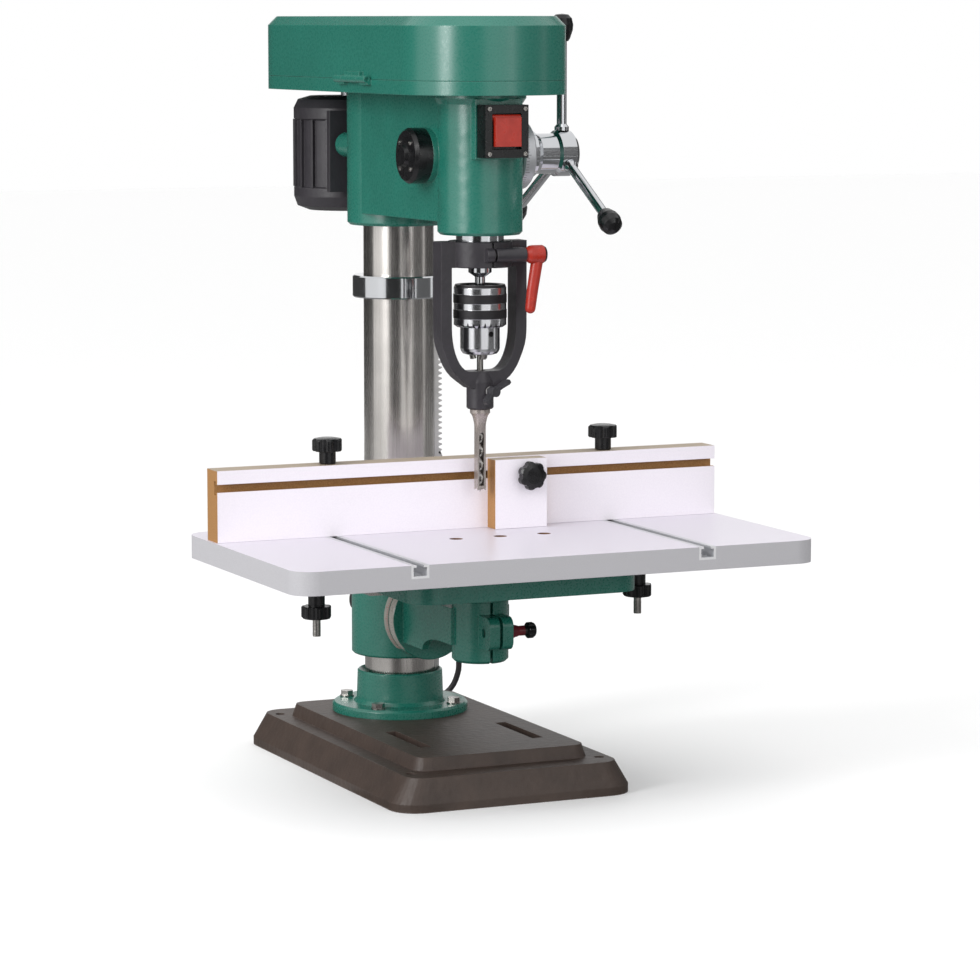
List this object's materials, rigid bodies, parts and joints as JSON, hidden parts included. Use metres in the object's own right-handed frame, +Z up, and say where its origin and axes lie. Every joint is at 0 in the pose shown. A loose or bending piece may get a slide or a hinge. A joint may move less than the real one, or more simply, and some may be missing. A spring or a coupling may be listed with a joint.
{
  "type": "benchtop drill press",
  "caption": "Benchtop drill press on a round column with a mortising yoke and hollow chisel, a tilting table, a slotted white auxiliary table and a fence with a stop.",
  "frame": {"origin": "middle of the foot on the bench", "axes": "+Z up along the column, front towards -Y, feed handles on +X"},
  "size_m": [0.6, 0.684, 0.842],
  "materials": {
    "green_paint": "gloss enamel on cast iron, slightly uneven",
    "dark_paint": "worn dark paint on a cast foot",
    "column_steel": "ground steel tube",
    "bright_steel": "plain turned steel",
    "chrome_plate": "bright plating",
    "charcoal_paint": "dark grey paint on a casting",
    "black_plastic": "moulded black plastic",
    "red_plastic": "moulded red plastic",
    "dark_red_plastic": "moulded dark red plastic",
    "white_laminate": "fibreboard with a white laminate",
    "fibreboard": "bare brown fibreboard with laminate faces",
    "track_alloy": "drawn alloy",
    "scale_plastic": "printed strip",
    "belt_rubber": "dull rubber",
    "cord_rubber": "soft cable sheath"
  },
  "bodies": {
    "stand": {"base": "dark_paint", "column_flange": "green_paint", "flange_bolts": "bright_steel", "column": "column_steel", "rack_collar": "chrome_plate", "head": "green_paint", "belt_guard": "green_paint", "drive_belt": "belt_rubber", "spring_cap": "black_plastic", "switch_box": "black_plastic", "cord_relief": "cord_rubber", "power_cord": "cord_rubber", "cord_coil": "cord_rubber", "cord_tie": "cord_rubber", "power_plug": "cord_rubber"},
    "rack": {"lift_rack": "bright_steel"},
    "bracket": {"table_bracket": "green_paint", "tilt_bolt": "bright_steel", "tilt_scale": "scale_plastic"},
    "crank": {"lift_crank": "bright_steel"},
    "crank_grip": {"crank_handle": "black_plastic"},
    "sleeve_lock": {"bracket_lock": "black_plastic"},
    "arm": {"table_arm": "green_paint"},
    "post_lock": {"arm_lock": "dark_red_plastic"},
    "table": {"cast_table": "green_paint", "table_board": "white_laminate", "t_tracks": "track_alloy", "hold_downs": "bright_steel"},
    "left_hold_knob": {"hold_knob_left": "black_plastic"},
    "right_hold_knob": {"hold_knob_right": "black_plastic"},
    "fence_board": {"fence": "fibreboard", "fence_bolts": "bright_steel"},
    "left_fence_knob": {"fence_knob_left": "black_plastic"},
    "right_fence_knob": {"fence_knob_right": "black_plastic"},
    "stop": {"stop_block": "white_laminate", "stop_bolt": "bright_steel"},
    "stop_clamp_knob": {"stop_knob": "black_plastic"},
    "quill_set": {"quill": "bright_steel", "chisel_yoke": "charcoal_paint", "chisel": "bright_steel"},
    "feed": {"feed_hub": "chrome_plate", "feed_handles": "chrome_plate", "feed_knobs": "black_plastic"},
    "depth_dial": {"depth_ring": "track_alloy"},
    "spindle_set": {"spindle": "bright_steel", "chuck_body": "chrome_plate", "auger_bit": "bright_steel"},
    "driven_pulley": {"spindle_pulley": "track_alloy"},
    "rotor": {"motor_pulley": "track_alloy"},
    "sleeve": {"chuck_sleeve": "chrome_plate"},
    "jaw_1": {"chuck_jaw_1": "bright_steel"},
    "jaw_2": {"chuck_jaw_2": "bright_steel"},
    "jaw_3": {"chuck_jaw_3": "bright_steel"},
    "clamp_lever": {"yoke_lever": "red_plastic"},
    "chisel_screw": {"wing_screw": "black_plastic"},
    "lid": {"guard_lid": "green_paint"},
    "motor_set": {"motor": "charcoal_paint", "motor_plate": "dark_paint"},
    "paddle": {"switch_paddle": "red_plastic"}
  },
  "joints": [
    {"name": "table_swing", "type": "hinge", "parent": "stand", "child": "rack", "pos_m": [0, 0.1, 0.3], "axis": [0, 0, -1], "range_deg": [-15, 2]},
    {"name": "table_lift", "type": "slide", "parent": "rack", "child": "bracket", "axis": [0, 0, -1], "range_m": [-0.04, 0.018]},
    {"name": "crank_turn", "type": "hinge", "parent": "bracket", "child": "crank", "pos_m": [0.0599, 0.1, 0.1684], "axis": [0, 1, 0], "range_deg": [-192, 87]},
    {"name": "crank_handle_spin", "type": "hinge", "parent": "crank", "child": "crank_grip", "pos_m": [0.0599, 0.22, 0.2224], "axis": [0, 1, 0], "continuous": true},
    {"name": "bracket_lock_turn", "type": "hinge", "parent": "bracket", "child": "sleeve_lock", "pos_m": [-0.026, 0.163, 0.1684], "axis": [-1, 0, 0], "range_deg": [0, 80]},
    {"name": "table_tilt", "type": "hinge", "parent": "bracket", "child": "arm", "pos_m": [0, 0.02, 0.168], "axis": [0, 1, 0], "range_deg": [0, 25]},
    {"name": "arm_lock_turn", "type": "hinge", "parent": "arm", "child": "post_lock", "pos_m": [0.02, -0.164, 0.177], "axis": [-1, 0, 0], "range_deg": [0, 70]},
    {"name": "table_rotate", "type": "hinge", "parent": "arm", "child": "table", "pos_m": [0, -0.124, 0.2], "axis": [0, 0, 1], "range_deg": [-40, 40]},
    {"name": "hold_knob_left_turn", "type": "hinge", "parent": "table", "child": "left_hold_knob", "pos_m": [-0.192, -0.124, 0.205], "axis": [0, 0, 1], "range_deg": [-90, 90]},
    {"name": "hold_knob_right_turn", "type": "hinge", "parent": "table", "child": "right_hold_knob", "pos_m": [0.192, -0.124, 0.205], "axis": [0, 0, 1], "range_deg": [-90, 90]},
    {"name": "fence_slide", "type": "slide", "parent": "table", "child": "fence_board", "axis": [0, 1, 0], "range_m": [-0.006, 0.05]},
    {"name": "fence_knob_left_turn", "type": "hinge", "parent": "fence_board", "child": "left_fence_knob", "pos_m": [-0.165, -0.0905, 0.375], "axis": [0, 0, 1], "range_deg": [-90, 90]},
    {"name": "fence_knob_right_turn", "type": "hinge", "parent": "fence_board", "child": "right_fence_knob", "pos_m": [0.165, -0.0905, 0.375], "axis": [0, 0, 1], "range_deg": [-90, 90]},
    {"name": "stop_slide", "type": "slide", "parent": "fence_board", "child": "stop", "axis": [1, 0, 0], "range_m": [-0.004, 0.2]},
    {"name": "stop_knob_turn", "type": "hinge", "parent": "stop", "child": "stop_clamp_knob", "pos_m": [0.05699, -0.132, 0.3422], "axis": [0, -1, 0], "range_deg": [-90, 90]},
    {"name": "quill_feed", "type": "slide", "parent": "stand", "child": "quill_set", "axis": [0, 0, -1], "range_m": [0, 0.04], "stiffness_N_per_m": 600, "springref_m": -0.14},
    {"name": "feed_turn", "type": "hinge", "parent": "stand", "child": "feed", "pos_m": [0, -0.08885, 0.69], "axis": [1, 0, 0], "range_deg": [0, 219]},
    {"name": "depth_ring_turn", "type": "hinge", "parent": "feed", "child": "depth_dial", "pos_m": [0.06, -0.08885, 0.69], "axis": [1, 0, 0], "range_deg": [-120, 120]},
    {"name": "spindle_turn", "type": "hinge", "parent": "quill_set", "child": "spindle_set", "pos_m": [0, -0.124, 0.6], "axis": [0, 0, 1], "continuous": true},
    {"name": "spindle_pulley_turn", "type": "hinge", "parent": "stand", "child": "driven_pulley", "pos_m": [0, -0.124, 0.8], "axis": [0, 0, 1], "continuous": true},
    {"name": "motor_turn", "type": "hinge", "parent": "motor_set", "child": "rotor", "pos_m": [0, 0.25, 0.8], "axis": [0, 0, 1], "continuous": true},
    {"name": "chuck_sleeve_turn", "type": "hinge", "parent": "spindle_set", "child": "sleeve", "pos_m": [0, -0.124, 0.53], "axis": [0, 0, 1], "range_deg": [0, 60]},
    {"name": "chuck_jaw_1_slide", "type": "slide", "parent": "spindle_set", "child": "jaw_1", "axis": [0.1948, 0.1125, 0.9744], "range_m": [0, 0.004]},
    {"name": "chuck_jaw_2_slide", "type": "slide", "parent": "spindle_set", "child": "jaw_2", "axis": [-0.1948, 0.1125, 0.9744], "range_m": [0, 0.004]},
    {"name": "chuck_jaw_3_slide", "type": "slide", "parent": "spindle_set", "child": "jaw_3", "axis": [0, -0.225, 0.9744], "range_m": [0, 0.004]},
    {"name": "yoke_lever_turn", "type": "hinge", "parent": "quill_set", "child": "clamp_lever", "pos_m": [0.048, -0.161, 0.585], "axis": [-1, 0, 0], "range_deg": [0, 90]},
    {"name": "wing_screw_turn", "type": "hinge", "parent": "quill_set", "child": "chisel_screw", "pos_m": [0, -0.124, 0.437], "axis": [0.2756, -0.9613, 0], "range_deg": [-60, 60]},
    {"name": "lid_open", "type": "hinge", "parent": "stand", "child": "lid", "pos_m": [-0.097, -0.02, 0.7713], "axis": [0, -1, 0], "range_deg": [0, 85]},
    {"name": "motor_slide", "type": "slide", "parent": "stand", "child": "motor_set", "axis": [0, -1, 0], "range_m": [0, 0.006]},
    {"name": "switch_press", "type": "hinge", "parent": "stand", "child": "paddle", "pos_m": [0, -0.19, 0.733], "axis": [1, 0, 0], "range_deg": [0, 8]}
  ],
  "couplings": [
    {"joint": "crank_turn", "follows": "table_lift", "rad_per_m": 83.333},
    {"joint": "feed_turn", "follows": "quill_feed", "rad_per_m": 95.238},
    {"joint": "spindle_pulley_turn", "follows": "spindle_turn", "ratio": 1},
    {"joint": "motor_turn", "follows": "spindle_turn", "ratio": 1.375},
    {"joint": "chuck_jaw_1_slide", "follows": "chuck_sleeve_turn", "m_per_rad": 0.0035},
    {"joint": "chuck_jaw_2_slide", "follows": "chuck_sleeve_turn", "m_per_rad": 0.0035},
    {"joint": "chuck_jaw_3_slide", "follows": "chuck_sleeve_turn", "m_per_rad": 0.0035}
  ]
}
